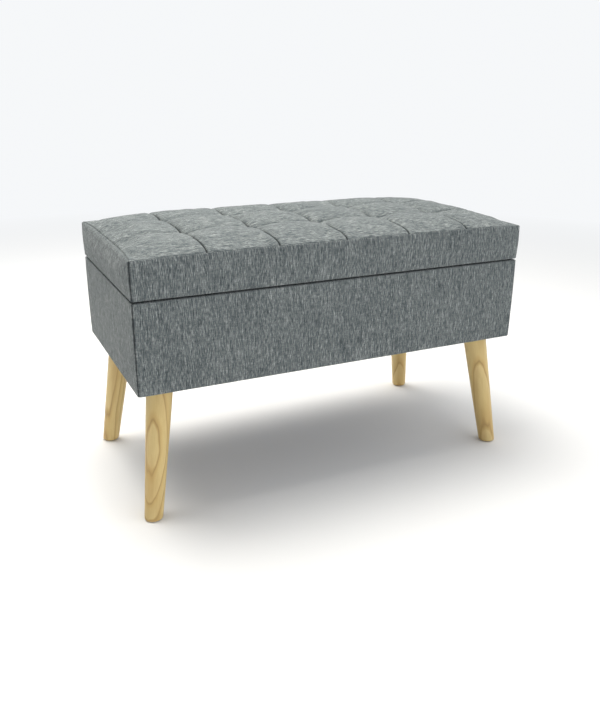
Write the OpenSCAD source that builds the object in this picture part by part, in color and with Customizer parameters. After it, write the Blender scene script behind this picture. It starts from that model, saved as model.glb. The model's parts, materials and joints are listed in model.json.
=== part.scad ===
// Storage bench: a fabric-covered box on four splayed legs, closed by a hinged, tufted lid.
// Frame: origin on the floor under the middle of the bench, +X along its length,
// -Y towards its front and +Z up. All sizes are in millimetres.

/* [Bench] */
// Length over the fabric
bench_w = 800; // [720:10:900]
// Depth over the fabric
bench_d = 400; // [380:10:440]
// Height of the box's lower edge above the floor
box_bottom_z = 250; // [230:5:280]
// Height of the box's walls
box_h = 165; // [155:5:200]
// Gap between the box and the closed lid
lid_gap = 3; // [3:0.2:4]

/* [Lid] */
// Height of the lid's straight sides
lid_side_h = 69; // [60:1:80]
// Rise of the cushion above the straight sides
crown_h = 19; // [16:1:22]
// Thickness of the board under the foam
lid_board_t = 15; // [12:1:18]
// Squares of tufting along the length
tuft_cols = 6; // [3:1:8]
// Squares of tufting across the depth
tuft_rows = 3; // [2:1:4]
// How far the tufts sink below the crown
tuft_depth = 17; // [8:1:18]

/* [Upholstery] */
// Thickness of the outer fabric
cover_t = 1.5; // [1:0.1:2]
// Thickness of the wadding under the fabric
wadding_t = 3.5; // [2:0.5:5]
// Thickness of the linings
lining_t = 1; // [0.6:0.1:1.2]
// Radius of the upright corners over the fabric
corner_r = 7; // [6:1:16]

/* [Box panels] */
// Thickness of the four walls
wall_t = 15; // [14:1:18]
// Thickness of the bottom panel
bottom_t = 12; // [9:1:15]
// Height of the recess under the bottom panel, which takes the leg plates
recess_h = 14.5; // [14:0.5:18]

/* [Legs] */
// Radius of a leg where it meets the box
leg_top_r = 24.3; // [18:0.1:25]
// Radius of a leg at the floor
leg_foot_r = 17; // [14:0.1:18]
// How far the middle of a leg's top lies inside the ends of the box
leg_inset_x = 52; // [50:1:60]
// How far the middle of a leg's top lies inside the front and back of the box
leg_inset_y = 52; // [50:1:60]
// How far a leg leans out along the length
leg_splay_x = 36; // [20:1:38]
// How far a leg leans out across the depth
leg_splay_y = 34; // [20:1:38]

/* [Hinges and stays] */
// Length of a hinge
hinge_l = 60; // [50:5:80]
// Distance of each hinge from the middle of the bench
hinge_x = 250; // [200:5:280]
// Distance of the hinge pin behind the back of the box
hinge_offset = 3.5; // [3.5:0.1:4]
// Radius of a hinge pin
hinge_pin_r = 1.5; // [1.2:0.1:1.6]
// Distance of a stay's lower pivot in front of the hinge axis
stay_base_u = 50; // [50:1:56]
// Distance of a stay's lower pivot below the hinge axis
stay_base_w = 112; // [90:1:112]
// Distance of a stay's upper pivot in front of the hinge axis
stay_lid_u = 130; // [110:1:130]
// Distance of a stay's upper pivot below the hinge axis
stay_lid_w = 14; // [13:0.5:15]

/* [Hidden] */
$fn = 64;

// Heights of the layers, from the floor up
box_top_z = box_bottom_z + box_h;
lid_bottom_z = box_top_z + lid_gap;
seam_z = lid_bottom_z + lid_side_h;
crown_z = seam_z + crown_h;
panel_z0 = box_bottom_z + cover_t;
panel_z1 = box_top_z - cover_t;
panel_h = panel_z1 - panel_z0;
bottom_z0 = panel_z0 + recess_h;
floor_z = bottom_z0 + bottom_t;
board_z0 = lid_bottom_z + cover_t;
board_z1 = board_z0 + lid_board_t;

// Plan sizes of the upholstery's layers, as insets from the outer face
pad_inset = cover_t + wadding_t;
frame_w = bench_w - 2 * pad_inset;
frame_d = bench_d - 2 * pad_inset;
frame_corner_r = corner_r - pad_inset;
cavity_w = frame_w - 2 * wall_t;
cavity_d = frame_d - 2 * wall_t;
fold_in = 20;         // the box cover's turn-in down the inside of the walls
lid_fold = 40;        // the lid cover's turn-in under the board
dust_margin = 8;      // the dust cover stops this far inside the box's outline
dust_hole_gap = 3;    // room round a leg in the dust cover
lining_gap = 0.2;     // room round the lid's lining
sheet_corner_r = 2;   // corners of the dust cover, the lid's lining and the turn-in

// Fasteners
clear = 0.05;         // radial clearance of every screw, rivet and bolt in its hole
cut = 1;              // how far a cutting shape runs past the face it opens
cleat_t = 15;
cleat_end_gap = 80;   // the cleats stop this far from the cavity's corners, clear of the plates
panel_screw_r = 2.5;
panel_screw_l = 50;
panel_screw_head_r = 4.5;
panel_screw_head_l = 4;
panel_screw_sink = 0.6;   // the heads lie this far below the wall's face
panel_screw_edge = 21;    // from a wall's upper or lower edge to the nearest corner screw
small_screw_r = 1.8;
small_head_r = 3.4;

// Legs
pad_t = 1.5;
pad_r = 12;
foot_x = bench_w / 2 - leg_inset_x + leg_splay_x;
foot_y = bench_d / 2 - leg_inset_y + leg_splay_y;
splay = norm([leg_splay_x, leg_splay_y]);
leg_tilt = atan(splay / box_bottom_z);
leg_turn = atan2(leg_splay_y, leg_splay_x);
leg_slope = (leg_top_r - leg_foot_r) * cos(leg_tilt) / box_bottom_z;
plate_t = 2.5;
plate_w = 64;
plate_corner_r = 5;
plate_hole = 26;      // screw holes, from the plate's middle
seat_drop = 5.2;      // how far the plate's slanted seat reaches below the plate
seat_r = 14;
leg_top_s = (bottom_z0 - plate_t - seat_drop) / cos(leg_tilt);
plate_x = foot_x - leg_splay_x * bottom_z0 / box_bottom_z;
plate_y = foot_y - leg_splay_y * bottom_z0 / box_bottom_z;
bolt_r = 4;
bolt_depth = 42;
bolt_end_gap = 1;
foot_round = 3;
foot_rim = 0.4;       // the level cut of a leaning leg is this much wider than the leg

// Hinges: the axis lies in the middle of the gap, just behind the back
leaf_t = lid_gap / 2 - 0.1;
hinge_y = bench_d / 2 + hinge_offset;
hinge_z = (box_top_z + lid_bottom_z) / 2;
knuckle_r = 3.2;
knuckles = 5;
knuckle_gap = 0.3;
leaf_y0 = cavity_d / 2;
leaf_hole_pitch = 20;
leaf_hole_y = (frame_d + cavity_d) / 4;
leaf_notch = 0.5;     // room between a leaf's edge and the other leaf's knuckles

// Stays: a folding parallelogram in the plane of each end wall
arm_t = 2;
arm_w = 12;
rivet_r = 2.5;
rivet_head_r = 4.5;
rivet_head_l = 1.2;
rivet_tail_l = 0.8;
rivet_play = 0.3;     // between a rivet's head and the arm beside it
open_pivot_clear = 0.3;
bracket_gap = 0.4;    // between the box bracket and the lower arm
arm_gap = 0.6;        // between the two arms
stay_wall_x = cavity_w / 2 - lining_t;
bracket_x = stay_wall_x - arm_t;          // inner face of the box bracket
lower_arm_x = bracket_x - bracket_gap - arm_t;    // inner face of the lower arm
upper_arm_x = lower_arm_x - arm_gap - arm_t;  // inner face of the upper arm
stay_base = [hinge_y - stay_base_u, hinge_z - stay_base_w];
stay_lid = [hinge_y - stay_lid_u, hinge_z - stay_lid_w];
stay_elbow = [hinge_y - stay_base_u - stay_lid_u, hinge_z - stay_base_w - stay_lid_w];
bracket_w = 18;
bracket_l = 46;
bracket_hole = 16;
lid_flange_x = 24;
lid_flange_y = 44;
flange_hole_x = 14.4; // flange screws, from the bracket's ear
flange_hole_y = 14;   // and from its pivot

// Tufts, at the corners where the squares meet
tuft_pitch_x = bench_w / tuft_cols;
tuft_pitch_y = bench_d / tuft_rows;
tufts = [for (i = [1 : tuft_cols - 1]) for (j = [1 : tuft_rows - 1])
    [(i - tuft_cols / 2) * tuft_pitch_x, (j - tuft_rows / 2) * tuft_pitch_y]];
tuft_sphere_r = 25;
tuft_z = crown_z - tuft_depth;
twine_r = 0.8;
twine_hole_r = 1.5;
washer_r = 8;
washer_t = 1.2;
washer_recess = 2.5;

FABRIC = [0.43, 0.46, 0.46];
PINE = [0.80, 0.71, 0.49];
CHIPBOARD = [0.72, 0.60, 0.42];
STEEL = [0.72, 0.72, 0.70];
BLACK = [0.12, 0.12, 0.12];
WHITE = [0.92, 0.92, 0.90];

// ---- Shared shapes ----

// A plate of w by d with rounded corners, centred in plan, standing on z0
module slab(w, d, h, r, z0) {
    translate([0, 0, z0])
        linear_extrude(h)
            rounded_rect(w, d, r);
}

module rounded_rect(w, d, r) {
    if (r <= 0) {
        square([w, d], center = true);
    } else {
        square([w - 2 * r, d], center = true);
        square([w, d - 2 * r], center = true);
        for (sx = [-1, 1], sy = [-1, 1])
            translate([sx * (w / 2 - r), sy * (d / 2 - r)])
                circle(r);
    }
}

// An upright sleeve between two rounded outlines
module sleeve(w, d, r, t, z0, z1) {
    translate([0, 0, z0])
        linear_extrude(z1 - z0)
            difference() {
                rounded_rect(w, d, r);
                rounded_rect(w - 2 * t, d - 2 * t, max(r - t, 0));
            }
}

// Copies for the corner on the side sx (-1 left, 1 right) and sy (-1 front, 1 back)
module at_corner(sx, sy) {
    mirror([sx < 0 ? 1 : 0, 0, 0])
        mirror([0, sy < 0 ? 1 : 0, 0])
            children();
}

module on_side(sx) {
    mirror([sx < 0 ? 1 : 0, 0, 0])
        children();
}

// A rod along +X from x0 to x1 at a point [y, z]
module x_rod(r, x0, x1, at) {
    translate([x0, at[0], at[1]])
        rotate([0, 90, 0])
            cylinder(h = x1 - x0, r = r);
}

// ---- Box ----

// The corner screws of the box, which join the front and back panels to the end panels.
// Their heads are drawn out by a length when they cut their own holes.
module corner_screw_set(grow, head_out) {
    for (sx = [-1, 1], sy = [-1, 1], k = [0 : 2])
        at_corner(sx, sy)
            translate([
                frame_w / 2 - wall_t / 2,
                frame_d / 2 - panel_screw_sink,
                panel_z0 + panel_screw_edge + k * (panel_h / 2 - panel_screw_edge)
            ])
                rotate([90, 0, 0]) {
                    cylinder(h = panel_screw_l, r = panel_screw_r + grow);
                    translate([0, 0, -head_out])
                        cylinder(h = panel_screw_head_l + head_out,
                                 r = panel_screw_head_r + grow);
                }
}

module long_panel(sy) {
    color(CHIPBOARD)
        difference() {
            intersection() {
                translate([-frame_w / 2, sy > 0 ? cavity_d / 2 : -frame_d / 2, panel_z0])
                    cube([frame_w, wall_t, panel_h]);
                slab(frame_w, frame_d, panel_h, frame_corner_r, panel_z0);
            }
            corner_screw_set(clear, panel_screw_sink + cut);
            if (sy > 0) hinge_screw_set(false, clear);
        }
}

module end_panel(sx) {
    color(CHIPBOARD)
        difference() {
            translate([sx > 0 ? cavity_w / 2 : -frame_w / 2, -cavity_d / 2, panel_z0])
                cube([wall_t, cavity_d, panel_h]);
            corner_screw_set(clear, 0);
            stay_box_screw_set(clear);
        }
}

module front_panel() { long_panel(-1); }
module back_panel() { long_panel(1); }
module left_panel() { end_panel(-1); }
module right_panel() { end_panel(1); }

module bottom_panel() {
    color(CHIPBOARD)
        difference() {
            slab(cavity_w, cavity_d, bottom_t, 0, bottom_z0);
            leg_screw_set(clear);
        }
}

// Battens round the recess, which carry the bottom panel between the leg plates
module bottom_cleats() {
    color(PINE)
        for (s = [-1, 1]) {
            translate([-cavity_w / 2 + cleat_end_gap,
                       s > 0 ? cavity_d / 2 - cleat_t : -cavity_d / 2, panel_z0])
                cube([cavity_w - 2 * cleat_end_gap, cleat_t, recess_h]);
            translate([s > 0 ? cavity_w / 2 - cleat_t : -cavity_w / 2,
                       -cavity_d / 2 + cleat_end_gap, panel_z0])
                cube([cleat_t, cavity_d - 2 * cleat_end_gap, recess_h]);
        }
}

module panel_screws() {
    color(STEEL) corner_screw_set(0, 0);
}

module box_wadding() {
    color(WHITE)
        sleeve(bench_w - 2 * cover_t, bench_d - 2 * cover_t, corner_r - cover_t,
               wadding_t, panel_z0, panel_z1);
}

// The fabric goes round the walls, over their top edge and down inside, and under their
// lower edge
module box_cover() {
    color(FABRIC)
        difference() {
            union() {
                sleeve(bench_w, bench_d, corner_r, cover_t, box_bottom_z, box_top_z);
                sleeve(bench_w, bench_d, corner_r, pad_inset + wall_t + cover_t,
                       panel_z1, box_top_z);
                sleeve(cavity_w, cavity_d, 0, cover_t, box_top_z - fold_in, box_top_z);
                sleeve(bench_w, bench_d, corner_r, pad_inset + wall_t, box_bottom_z, panel_z0);
            }
            hinge_screw_set(false, clear);
        }
}

module wall_lining() {
    color(BLACK)
        difference() {
            sleeve(cavity_w, cavity_d, 0, lining_t, floor_z + lining_t, box_top_z - fold_in);
            stay_box_screw_set(clear);
        }
}

module floor_lining() {
    color(BLACK) slab(cavity_w, cavity_d, lining_t, 0, floor_z);
}

// The dust cover hides the recess, with a round hole for each leg
module dust_cover() {
    color(BLACK)
        difference() {
            slab(bench_w - 2 * dust_margin, bench_d - 2 * dust_margin, lining_t,
                 sheet_corner_r, box_bottom_z - lining_t);
            for (sx = [-1, 1], sy = [-1, 1])
                at_corner(sx, sy)
                    translate([bench_w / 2 - leg_inset_x, bench_d / 2 - leg_inset_y, 0])
                        cylinder(h = box_bottom_z + cut, r = leg_top_r + dust_hole_gap);
        }
}

// ---- Legs ----

// Runs along a leg's own axis, from the middle of the foot upwards
module along_leg() {
    translate([foot_x, foot_y, 0])
        rotate([0, 0, leg_turn])
            rotate([0, -leg_tilt, 0])
                children();
}

// The turned leg, cut level at the floor, with a rounded foot and a hole for its bolt
module leg(sx, sy) {
    over = 12;
    color(PINE)
        at_corner(sx, sy)
            difference() {
                intersection() {
                    along_leg()
                        translate([0, 0, -over])
                            cylinder(h = leg_top_s + over,
                                     r1 = leg_foot_r - leg_slope * over,
                                     r2 = leg_foot_r + leg_slope * leg_top_s);
                    foot_envelope();
                }
                along_leg()
                    translate([0, 0, leg_top_s - bolt_depth])
                        cylinder(h = bolt_depth + cut, r = bolt_r);
            }
}

// Everything above the pad, with a rounded lower rim of the foot's size
module foot_envelope() {
    rim = leg_foot_r + foot_rim;
    translate([foot_x, foot_y, pad_t]) {
        rotate_extrude() {
            translate([rim - foot_round, foot_round]) circle(foot_round);
            square([rim - foot_round, 2 * foot_round]);
            translate([0, foot_round]) square([rim, foot_round]);
        }
    }
    translate([0, 0, pad_t + 2 * foot_round])
        cube([bench_w, bench_d, box_top_z]);
}

module leg_front_left() { leg(-1, -1); }
module leg_front_right() { leg(1, -1); }
module leg_back_left() { leg(-1, 1); }
module leg_back_right() { leg(1, 1); }

// A flat plate under the bottom panel, with a slanted seat that is threaded for the bolt
module leg_plate(sx, sy) {
    color(STEEL)
        at_corner(sx, sy)
            difference() {
                union() {
                    translate([plate_x, plate_y, bottom_z0 - plate_t])
                        linear_extrude(plate_t)
                            rounded_rect(plate_w, plate_w, plate_corner_r);
                    intersection() {
                        along_leg()
                            translate([0, 0, leg_top_s])
                                cylinder(h = seat_drop + 3 * plate_t, r = seat_r);
                        translate([0, 0, bottom_z0 - 3 * seat_drop])
                            cube([bench_w, bench_d, 3 * seat_drop]);
                    }
                }
                along_leg()
                    translate([0, 0, leg_top_s - cut])
                        cylinder(h = 4 * seat_drop, r = bolt_r);
                for (dx = [-1, 1], dy = [-1, 1])
                    translate([plate_x + dx * plate_hole, plate_y + dy * plate_hole, 0])
                        cylinder(h = bottom_z0 + cut, r = small_screw_r + clear);
            }
}

module leg_plate_front_left() { leg_plate(-1, -1); }
module leg_plate_front_right() { leg_plate(1, -1); }
module leg_plate_back_left() { leg_plate(-1, 1); }
module leg_plate_back_right() { leg_plate(1, 1); }

module leg_screw_set(grow) {
    head_h = 2;
    shank = 9;
    for (sx = [-1, 1], sy = [-1, 1], dx = [-1, 1], dy = [-1, 1])
        at_corner(sx, sy)
            translate([plate_x + dx * plate_hole, plate_y + dy * plate_hole,
                       bottom_z0 - plate_t]) {
                cylinder(h = plate_t + shank, r = small_screw_r + grow);
                translate([0, 0, -head_h])
                    cylinder(h = head_h, r = small_head_r + grow);
            }
}

module leg_plate_screws() {
    color(STEEL) leg_screw_set(0);
}

module hanger_bolts() {
    low_s = leg_top_s - bolt_depth + bolt_end_gap;
    top_s = (bottom_z0 - bolt_end_gap) / cos(leg_tilt);
    color(STEEL)
        for (sx = [-1, 1], sy = [-1, 1])
            at_corner(sx, sy)
                along_leg()
                    translate([0, 0, low_s])
                        cylinder(h = top_s - low_s, r = bolt_r - clear);
}

module foot_pads() {
    color(BLACK)
        for (sx = [-1, 1], sy = [-1, 1])
            at_corner(sx, sy)
                translate([foot_x, foot_y, 0])
                    cylinder(h = pad_t, r = pad_r);
}

module lid_bumpers() {
    bumper_h = lid_gap - 0.1;
    bumper_r = 5;
    color(BLACK)
        for (sx = [-1, 1])
            at_corner(sx, -1)
                translate([(frame_w + cavity_w) / 4, (frame_d + cavity_d) / 4, box_top_z])
                    cylinder(h = bumper_h, r = bumper_r);
}

// ---- Hinges ----

// One leaf lies on the box (upper = false) or under the lid (upper = true). Its knuckles
// take every other place along the pin.
module hinge_leaf(sx, upper) {
    pitch = hinge_l / knuckles;
    leaf_z = upper ? lid_bottom_z - leaf_t : box_top_z;
    notch_y = hinge_y - knuckle_r - leaf_notch;
    color(STEEL)
        on_side(sx)
            difference() {
                union() {
                    translate([hinge_x - hinge_l / 2, leaf_y0, leaf_z])
                        cube([hinge_l, notch_y - leaf_y0, leaf_t]);
                    for (k = [upper ? 1 : 0 : 2 : knuckles - 1]) {
                        x0 = hinge_x - hinge_l / 2 + k * pitch + knuckle_gap / 2;
                        translate([x0, notch_y - 1, leaf_z])
                            cube([pitch - knuckle_gap, hinge_y - notch_y + 1, leaf_t]);
                        x_rod(knuckle_r, x0, x0 + pitch - knuckle_gap, [hinge_y, hinge_z]);
                    }
                }
                x_rod(hinge_pin_r + clear, 0, bench_w / 2, [hinge_y, hinge_z]);
                hinge_screw_set(upper, clear);
            }
}

// Countersunk screws through the leaves: down into the back panel or up into the lid board
module hinge_screw_set(upper, grow) {
    shank = 13;
    z = upper ? lid_bottom_z - leaf_t : box_top_z + leaf_t;
    for (sx = [-1, 1], k = [-1 : 1])
        translate([sx * hinge_x + k * leaf_hole_pitch, leaf_hole_y, z])
            rotate([upper ? 0 : 180, 0, 0]) {
                cylinder(h = leaf_t, r1 = small_head_r + grow, r2 = small_screw_r + grow);
                cylinder(h = leaf_t + shank, r = small_screw_r + grow);
            }
}

module hinge_pin(sx) {
    head_l = 1;
    head_r = 2.5;
    color(STEEL)
        on_side(sx) {
            x_rod(hinge_pin_r, hinge_x - hinge_l / 2 - head_l, hinge_x + hinge_l / 2 + head_l,
                  [hinge_y, hinge_z]);
            for (x = [hinge_x - hinge_l / 2 - head_l, hinge_x + hinge_l / 2])
                x_rod(head_r, x, x + head_l, [hinge_y, hinge_z]);
        }
}

module hinge_left_base_leaf() { hinge_leaf(-1, false); }
module hinge_right_base_leaf() { hinge_leaf(1, false); }
module hinge_left_lid_leaf() { hinge_leaf(-1, true); }
module hinge_right_lid_leaf() { hinge_leaf(1, true); }
module hinge_left_pin() { hinge_pin(-1); }
module hinge_right_pin() { hinge_pin(1); }

module hinge_base_screws() {
    color(STEEL) hinge_screw_set(false, 0);
}

module hinge_lid_screws() {
    color(STEEL) hinge_screw_set(true, 0);
}

// ---- Lid stays ----

// A flat bar with round ends in an upright plane, between two pivots given as [y, z]
module bar(x0, t, a, b, w) {
    run = b - a;
    translate([x0, a[0], a[1]])
        rotate([atan2(run[1], run[0]), 0, 0])
            rotate([90, 0, 90])
                linear_extrude(t) {
                    translate([0, -w / 2]) square([norm(run), w]);
                    circle(w / 2);
                    translate([norm(run), 0]) circle(w / 2);
                }
}

module stay_box_bracket(sx) {
    reach = [0, bracket_l / 2 - bracket_w / 2];
    color(STEEL)
        on_side(sx)
            difference() {
                bar(bracket_x, arm_t, stay_base - reach, stay_base + reach, bracket_w);
                x_rod(rivet_r + clear, 0, bench_w / 2, stay_base);
                stay_box_screw_set(clear);
            }
}

// Countersunk screws through the box brackets into the end panels
module stay_box_screw_set(grow) {
    shank = 12;
    for (sx = [-1, 1], s = [-1, 1])
        on_side(sx)
            translate([bracket_x, stay_base[0], stay_base[1] + s * bracket_hole])
                rotate([0, 90, 0]) {
                    cylinder(h = arm_t, r1 = small_head_r + grow, r2 = small_screw_r + grow);
                    cylinder(h = arm_t + shank, r = small_screw_r + grow);
                }
}

module stay_box_screws() {
    color(STEEL) stay_box_screw_set(0);
}

// The rivet of each box bracket, with its head on the lower arm
module stay_box_rivets() {
    box_rivet_play = 0.2;
    color(STEEL)
        for (sx = [-1, 1])
            on_side(sx) {
                x_rod(rivet_r, lower_arm_x - rivet_head_l, stay_wall_x, stay_base);
                x_rod(rivet_head_r, lower_arm_x - rivet_head_l - box_rivet_play,
                      lower_arm_x - box_rivet_play, stay_base);
            }
}

module stay_lower_arm(sx) {
    color(STEEL)
        on_side(sx)
            difference() {
                bar(lower_arm_x, arm_t, stay_base, stay_elbow, arm_w);
                for (p = [stay_base, stay_elbow])
                    x_rod(rivet_r + clear, 0, bench_w / 2, p);
            }
}

// The elbow's hole is wider, because the linkage is opened at this pivot
module stay_upper_arm(sx) {
    color(STEEL)
        on_side(sx)
            difference() {
                bar(upper_arm_x, arm_t, stay_lid, stay_elbow, arm_w);
                x_rod(rivet_r + clear, 0, bench_w / 2, stay_lid);
                x_rod(rivet_r + open_pivot_clear, 0, bench_w / 2, stay_elbow);
            }
}

// A rivet through both layers of arms, with a head at each end
module arm_rivet(at) {
    x0 = upper_arm_x - rivet_play;
    x1 = lower_arm_x + arm_t;
    x_rod(rivet_r, x0 - rivet_head_l, x1, at);
    x_rod(rivet_head_r, x0 - rivet_head_l, x0, at);
    x_rod(rivet_head_r, x1, x1 + rivet_tail_l, at);
}

module stay_elbow_rivet(sx) {
    color(STEEL) on_side(sx) arm_rivet(stay_elbow);
}

module stay_lid_rivets() {
    color(STEEL)
        for (sx = [-1, 1])
            on_side(sx) arm_rivet(stay_lid);
}

// An angle bracket: a flange under the lid and an ear that hangs down to the pivot
module stay_lid_bracket(sx) {
    flange_x0 = lower_arm_x + arm_t - lid_flange_x;
    color(STEEL)
        on_side(sx)
            difference() {
                union() {
                    translate([flange_x0, stay_lid[0] - lid_flange_y / 2, lid_bottom_z - arm_t])
                        cube([lid_flange_x, lid_flange_y, arm_t]);
                    translate([lower_arm_x, stay_lid[0] - bracket_w / 2, stay_lid[1]])
                        cube([arm_t, bracket_w, lid_bottom_z - stay_lid[1]]);
                    x_rod(bracket_w / 2, lower_arm_x, lower_arm_x + arm_t, stay_lid);
                }
                x_rod(rivet_r + clear, 0, bench_w / 2, stay_lid);
                stay_lid_screw_set(clear);
            }
}

// Countersunk screws through the lid brackets' flanges into the lid board
module stay_lid_screw_set(grow) {
    shank = 12;
    hole_x = lower_arm_x + arm_t - flange_hole_x;
    for (sx = [-1, 1], s = [-1, 1])
        on_side(sx)
            translate([hole_x, stay_lid[0] + s * flange_hole_y, lid_bottom_z - arm_t]) {
                cylinder(h = arm_t, r1 = small_head_r + grow, r2 = small_screw_r + grow);
                cylinder(h = arm_t + shank, r = small_screw_r + grow);
            }
}

module stay_lid_screws() {
    color(STEEL) stay_lid_screw_set(0);
}

module stay_left_box_bracket() { stay_box_bracket(-1); }
module stay_right_box_bracket() { stay_box_bracket(1); }
module stay_left_lid_bracket() { stay_lid_bracket(-1); }
module stay_right_lid_bracket() { stay_lid_bracket(1); }
module stay_left_lower_arm() { stay_lower_arm(-1); }
module stay_right_lower_arm() { stay_lower_arm(1); }
module stay_left_upper_arm() { stay_upper_arm(-1); }
module stay_right_upper_arm() { stay_upper_arm(1); }
module stay_left_elbow_rivet() { stay_elbow_rivet(-1); }
module stay_right_elbow_rivet() { stay_elbow_rivet(1); }

// ---- Lid ----

// The lid's outer form, inset evenly: straight sides up to the seam, and above them a flat
// crown with round edges, from the height z0 up
module lid_form(inset, z0) {
    r = crown_h - inset;
    w = bench_w - 2 * inset;
    d = bench_d - 2 * inset;
    slab(w, d, seam_z - z0, corner_r - inset, z0);
    slab(w - 2 * r, d - 2 * r, crown_z - inset - z0, 0, z0);
    for (s = [-1, 1]) {
        x_rod(r, r - w / 2, w / 2 - r, [s * (d / 2 - r), seam_z]);
        translate([s * (w / 2 - r), d / 2 - r, seam_z])
            rotate([90, 0, 0])
                cylinder(h = d - 2 * r, r = r);
        for (t = [-1, 1])
            translate([s * (w / 2 - r), t * (d / 2 - r), seam_z])
                sphere(r);
    }
}

// Round pits at the tufts, deepened with the layer
module tuft_pits(inset) {
    for (t = tufts)
        translate([t[0], t[1], tuft_z + tuft_sphere_r])
            sphere(tuft_sphere_r + inset);
}

module lid_layer(outer_inset, inner_inset, z0) {
    difference() {
        lid_form(outer_inset, z0);
        lid_form(inner_inset, z0 - cut);
        tuft_pits(outer_inset);
    }
    // The layer's floor in each pit
    intersection() {
        difference() {
            lid_form(outer_inset, z0);
            tuft_pits(outer_inset);
        }
        tuft_pits(inner_inset);
    }
}

module lid_cover() {
    color(FABRIC) {
        lid_layer(0, cover_t, lid_bottom_z);
        difference() {
            slab(bench_w, bench_d, cover_t, corner_r, lid_bottom_z);
            slab(bench_w - 2 * lid_fold, bench_d - 2 * lid_fold, 3 * cover_t,
                 sheet_corner_r, lid_bottom_z - cover_t);
            hinge_screw_set(true, clear);
            stay_lid_screw_set(clear);
        }
    }
}

module lid_wadding() {
    color(WHITE) lid_layer(cover_t, pad_inset, board_z0);
}

module lid_foam() {
    color([0.95, 0.90, 0.70])
        difference() {
            lid_form(pad_inset, board_z1);
            tuft_pits(pad_inset);
            twine_set(twine_hole_r);
        }
}

module lid_board() {
    color(CHIPBOARD)
        difference() {
            slab(frame_w, frame_d, lid_board_t, frame_corner_r, board_z0);
            twine_set(twine_hole_r);
            for (t = tufts)
                translate([t[0], t[1], board_z0 - cut])
                    cylinder(h = washer_recess + cut, r = washer_r + 1);
            hinge_screw_set(true, clear);
            stay_lid_screw_set(clear);
        }
}

// A sheet under the board, within the cover's turn-in
module lid_lining() {
    color(BLACK)
        slab(bench_w - 2 * (lid_fold + lining_gap), bench_d - 2 * (lid_fold + lining_gap),
             lining_t, sheet_corner_r, board_z0 - lining_t);
}

module twine_set(r) {
    for (t = tufts)
        translate([t[0], t[1], board_z0 + washer_recess - washer_t])
            cylinder(h = tuft_z - board_z0 - washer_recess + washer_t - pad_inset, r = r);
}

module tuft_twines() {
    color(WHITE) twine_set(twine_r);
}

// A washer in a shallow recess holds each twine from below
module tuft_washers() {
    color(BLACK)
        for (t = tufts)
            translate([t[0], t[1], board_z0 + washer_recess - washer_t])
                difference() {
                    cylinder(h = washer_t, r = washer_r);
                    translate([0, 0, -cut])
                        cylinder(h = washer_t + 2 * cut, r = twine_r + clear);
                }
}

front_panel();
back_panel();
left_panel();
right_panel();
bottom_panel();
bottom_cleats();
panel_screws();
box_wadding();
box_cover();
wall_lining();
floor_lining();
dust_cover();
leg_front_left();
leg_front_right();
leg_back_left();
leg_back_right();
leg_plate_front_left();
leg_plate_front_right();
leg_plate_back_left();
leg_plate_back_right();
leg_plate_screws();
hanger_bolts();
foot_pads();
lid_bumpers();
hinge_left_base_leaf();
hinge_right_base_leaf();
hinge_left_pin();
hinge_right_pin();
hinge_base_screws();
stay_left_box_bracket();
stay_right_box_bracket();
stay_box_rivets();
stay_box_screws();
lid_board();
lid_foam();
lid_wadding();
lid_cover();
lid_lining();
tuft_twines();
tuft_washers();
hinge_left_lid_leaf();
hinge_right_lid_leaf();
hinge_lid_screws();
stay_left_lid_bracket();
stay_right_lid_bracket();
stay_lid_rivets();
stay_lid_screws();
stay_left_lower_arm();
stay_right_lower_arm();
stay_left_elbow_rivet();
stay_right_elbow_rivet();
stay_left_upper_arm();
stay_right_upper_arm();
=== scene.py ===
"""The looks of the storage bench: upholstery, pine legs, linings, metal, light and camera.

Everything is in metres, in the frame's axes: origin on the floor under the middle of the
bench, +X along its length, -Y towards its front, +Z up. Sizes come from the frame's nodes.
"""

import json
import math

import bmesh
import bpy
import numpy as np
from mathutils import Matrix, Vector, noise


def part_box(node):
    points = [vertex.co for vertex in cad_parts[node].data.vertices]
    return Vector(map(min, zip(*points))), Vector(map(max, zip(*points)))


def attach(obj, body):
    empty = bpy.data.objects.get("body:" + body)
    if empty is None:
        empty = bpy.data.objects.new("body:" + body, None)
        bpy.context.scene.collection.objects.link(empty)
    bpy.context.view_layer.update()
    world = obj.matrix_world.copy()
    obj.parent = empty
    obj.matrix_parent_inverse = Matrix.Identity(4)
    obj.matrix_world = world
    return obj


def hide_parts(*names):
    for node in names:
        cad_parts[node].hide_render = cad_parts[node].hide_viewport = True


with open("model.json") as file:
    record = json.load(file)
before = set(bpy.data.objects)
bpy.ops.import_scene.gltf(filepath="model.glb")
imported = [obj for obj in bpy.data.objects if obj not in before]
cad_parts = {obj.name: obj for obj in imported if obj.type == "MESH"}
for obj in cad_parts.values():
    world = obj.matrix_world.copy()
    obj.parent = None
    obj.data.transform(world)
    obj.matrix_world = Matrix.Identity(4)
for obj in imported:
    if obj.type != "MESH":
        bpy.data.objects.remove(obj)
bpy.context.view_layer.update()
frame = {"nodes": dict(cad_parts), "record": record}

SCENE = bpy.context.scene
NODES = frame["nodes"]
LYING = 0.72  # a face lies flat when its normal's z is beyond this


# ---- Meshes and objects


def add_object(name, data):
    obj = bpy.data.objects.new(name, data)
    SCENE.collection.objects.link(obj)
    return obj


def make_piece(name, points, faces, body, material, replaced=(), smooth=True):
    """A mesh object that rides on a body, wears a material and stands for CAD nodes."""
    mesh = bpy.data.meshes.new(name)
    mesh.from_pydata([tuple(p) for p in points], [], faces)
    mesh.validate()
    mesh.update()
    if smooth:
        mesh.shade_smooth()
    else:
        mesh.shade_flat()
    mesh.materials.append(material)
    obj = add_object(name, mesh)
    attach(obj, body)
    if replaced:
        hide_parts(*replaced)
    return obj


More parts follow.
